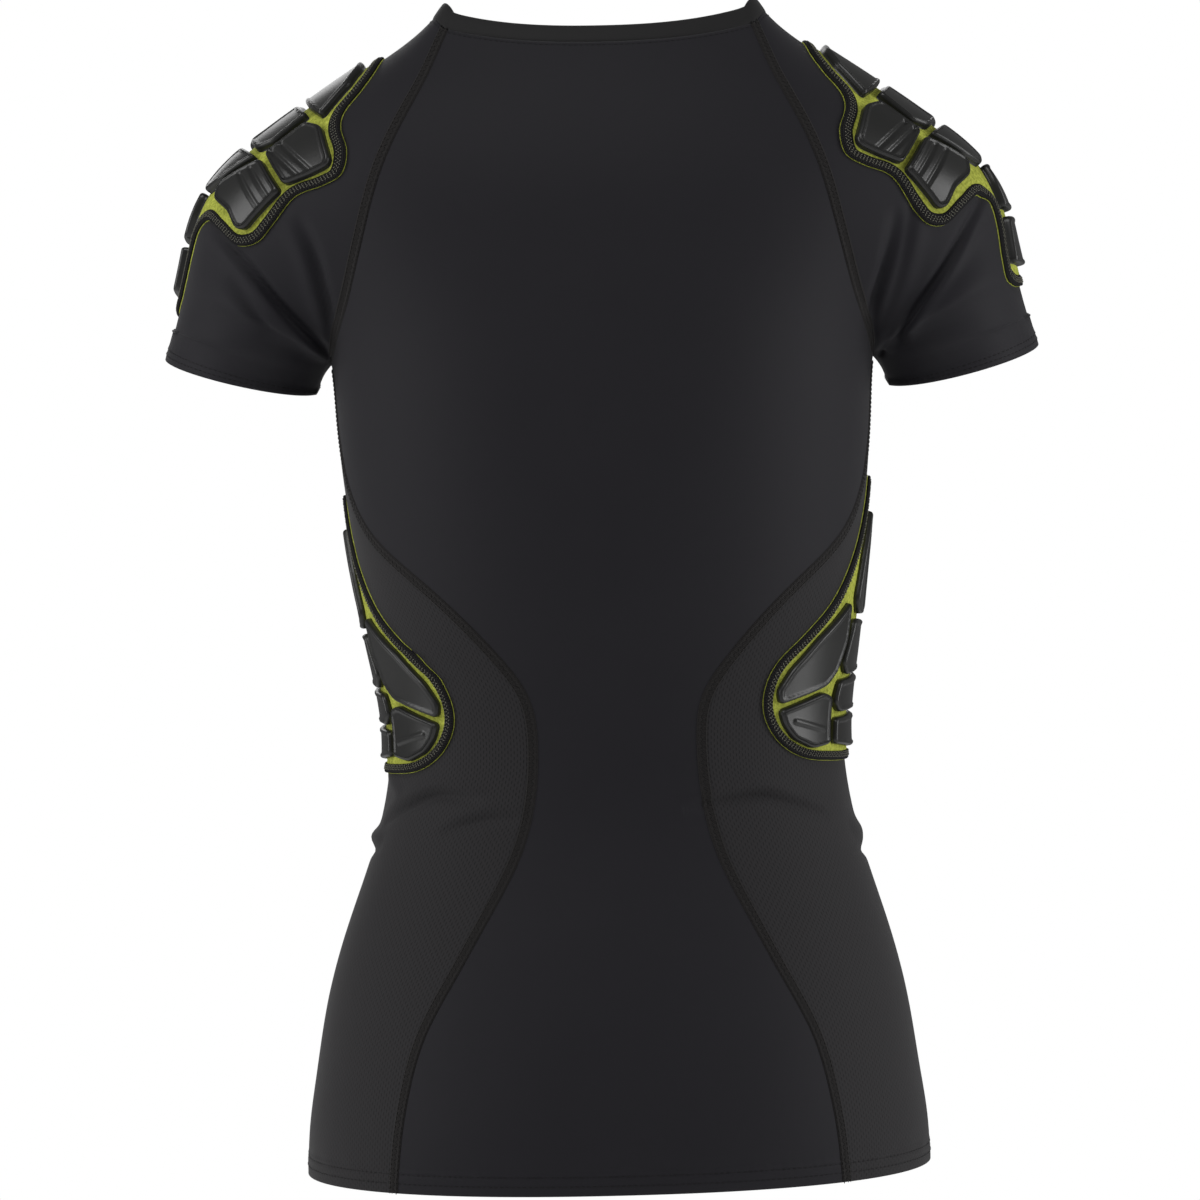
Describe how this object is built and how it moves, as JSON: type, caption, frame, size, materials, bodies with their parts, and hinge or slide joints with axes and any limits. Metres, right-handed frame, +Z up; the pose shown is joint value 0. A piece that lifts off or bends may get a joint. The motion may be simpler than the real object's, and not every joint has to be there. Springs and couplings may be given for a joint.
{
  "type": "padded compression shirt, filled out as worn with no wearer",
  "caption": "Women's black short-sleeved compression shirt with mesh sides and moulded tile pads on green foam at the shoulders and ribs, filled out as worn.",
  "frame": {"origin": "middle of the neck, at the height where the shoulder line meets the neck band, where the wearer's shoulders hold the shirt", "axes": "+Z up, towards the neck; the front faces -Y; +X is the wearer's left"},
  "size_m": [0.473, 0.2447, 0.6277],
  "materials": {
    "black_jersey": "smooth, dense stretch jersey with a slight sheen",
    "mesh_knit": "stretch mesh with small upright perforations",
    "band_jersey": "folded jersey binding, coverstitched",
    "foam_green": "yellow-green laminated foam, fine knit face",
    "knit_border": "dark knitted edging with open stitches",
    "moulded_black": "smooth, bevelled moulding with a soft gloss"
  },
  "bodies": {
    "root": {"back_panel": "black_jersey", "front_panel": "black_jersey", "neck_band": "band_jersey", "side_panel_left": "mesh_knit", "sleeve_left": "black_jersey", "shoulder_foam_left": "foam_green", "shoulder_border_left": "knit_border", "rib_foam_left": "foam_green", "rib_border_left": "knit_border", "shoulder_tile_left_neck": "moulded_black", "shoulder_tile_left_crest_upper": "moulded_black", "shoulder_tile_left_crest_lower": "moulded_black", "shoulder_tile_left_arm_upper": "moulded_black", "shoulder_tile_left_arm_lower": "moulded_black", "shoulder_tile_left_shield_upper_back": "moulded_black", "shoulder_tile_left_shield_upper_front": "moulded_black", "shoulder_tile_left_shield_lower_back": "moulded_black", "shoulder_tile_left_shield_lower_front": "moulded_black", "shoulder_tile_left_bar_upper_back": "moulded_black", "shoulder_tile_left_bar_upper_front": "moulded_black", "shoulder_tile_left_bar_lower_back": "moulded_black", "shoulder_tile_left_bar_lower_front": "moulded_black", "rib_tile_left_strip_back": "moulded_black", "rib_tile_left_strip_front": "moulded_black", "rib_tile_left_side_upper": "moulded_black", "rib_tile_left_side_middle": "moulded_black", "rib_tile_left_side_lower": "moulded_black", "rib_tile_left_teardrop_back": "moulded_black", "rib_tile_left_teardrop_front": "moulded_black", "rib_tile_left_round_back": "moulded_black", "rib_tile_left_round_front": "moulded_black", "side_panel_right": "mesh_knit", "sleeve_right": "black_jersey", "shoulder_foam_right": "foam_green", "shoulder_border_right": "knit_border", "rib_foam_right": "foam_green", "rib_border_right": "knit_border", "shoulder_tile_right_neck": "moulded_black", "shoulder_tile_right_crest_upper": "moulded_black", "shoulder_tile_right_crest_lower": "moulded_black", "shoulder_tile_right_arm_upper": "moulded_black", "shoulder_tile_right_arm_lower": "moulded_black", "shoulder_tile_right_shield_upper_back": "moulded_black", "shoulder_tile_right_shield_upper_front": "moulded_black", "shoulder_tile_right_shield_lower_back": "moulded_black", "shoulder_tile_right_shield_lower_front": "moulded_black", "shoulder_tile_right_bar_upper_back": "moulded_black", "shoulder_tile_right_bar_upper_front": "moulded_black", "shoulder_tile_right_bar_lower_back": "moulded_black", "shoulder_tile_right_bar_lower_front": "moulded_black", "rib_tile_right_strip_back": "moulded_black", "rib_tile_right_strip_front": "moulded_black", "rib_tile_right_side_upper": "moulded_black", "rib_tile_right_side_middle": "moulded_black", "rib_tile_right_side_lower": "moulded_black", "rib_tile_right_teardrop_back": "moulded_black", "rib_tile_right_teardrop_front": "moulded_black", "rib_tile_right_round_back": "moulded_black", "rib_tile_right_round_front": "moulded_black"}
  },
  "joints": []
}
